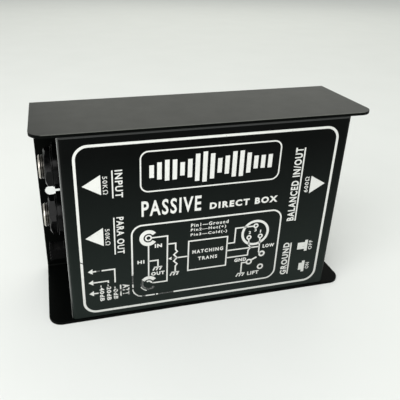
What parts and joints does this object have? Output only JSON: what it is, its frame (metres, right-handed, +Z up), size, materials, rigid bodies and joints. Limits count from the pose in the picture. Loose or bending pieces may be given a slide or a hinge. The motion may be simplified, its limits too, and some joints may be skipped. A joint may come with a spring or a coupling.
{
  "type": "direct injection box",
  "caption": "Passive direct injection box: two interleaved folded-sheet shells, recessed ends with jack sockets, attenuator slider, balanced socket and ground push switch.",
  "frame": {"origin": "middle of the lower long cheek's underside, halfway between the cheeks' front edges and the base plate's outer face", "axes": "+X from the jack end to the balanced-socket end, +Y from the printed face to the base plate, +Z up, with the box standing on its long lower cheek"},
  "size_m": [0.13, 0.041, 0.081],
  "materials": {
    "shell_coat": "satin black powder coat",
    "black_plastic": "moulded black nylon",
    "switch_plastic": "moulded black plastic",
    "chrome": "nickel-chrome plated brass",
    "zinc": "zinc plated steel",
    "die_cast": "black plated die-cast metal",
    "black_steel": "black oxide screw",
    "contact_metal": "plated spring brass",
    "silver_pin": "silver plated",
    "laminate": "phenolic laminate",
    "board": "paper laminate board",
    "nylon": "natural nylon",
    "core_steel": "varnished laminations",
    "winding_tape": "polyester tape over copper wire",
    "resistor": "lacquered ceramic",
    "wire": "PVC insulation in several colours"
  },
  "bodies": {
    "box": {"base_shell": "shell_coat", "cover_shell": "shell_coat", "cover_screws": "black_steel", "input_jack_body": "black_plastic", "input_jack_bushing": "chrome", "input_jack_insulator": "black_plastic", "input_jack_nut": "black_plastic", "input_jack_contacts": "contact_metal", "link_jack_body": "black_plastic", "link_jack_bushing": "chrome", "link_jack_insulator": "black_plastic", "link_jack_nut": "black_plastic", "link_jack_contacts": "contact_metal", "pad_switch_frame": "zinc", "pad_switch_screws": "black_steel", "pad_switch_base": "laminate", "pad_switch_terminals": "silver_pin", "xlr_shell": "die_cast", "xlr_insert": "black_plastic", "xlr_pins": "silver_pin", "xlr_screws": "black_steel", "xlr_nuts": "zinc", "ground_switch_frame": "zinc", "ground_switch_screws": "black_steel", "ground_switch_body": "black_plastic", "ground_switch_terminals": "silver_pin", "ground_switch_latch": "zinc", "ground_switch_spring": "zinc", "transformer_core": "core_steel", "transformer_bobbin": "nylon", "transformer_winding": "winding_tape", "transformer_bracket": "zinc", "transformer_screws": "black_steel", "transformer_nuts": "zinc", "circuit_board": "board", "board_spacers": "nylon", "pad_resistors": "resistor", "jack_wires": "wire", "transformer_wires": "wire", "output_wires": "wire"},
    "attenuator_slider": {"pad_switch_slider": "switch_plastic", "pad_switch_bridges": "contact_metal"},
    "ground_button": {"ground_switch_plunger": "nylon", "ground_switch_cap": "switch_plastic"}
  },
  "joints": [
    {"name": "attenuator_slide", "type": "slide", "parent": "box", "child": "attenuator_slider", "axis": [0, 0, -1], "range_m": [0, 0.01]},
    {"name": "ground_press", "type": "slide", "parent": "box", "child": "ground_button", "axis": [-1, 0, 0], "range_m": [0, 0.0025], "stiffness_N_per_m": 250, "springref_m": -0.002, "deforming": ["ground_switch_spring"]}
  ]
}
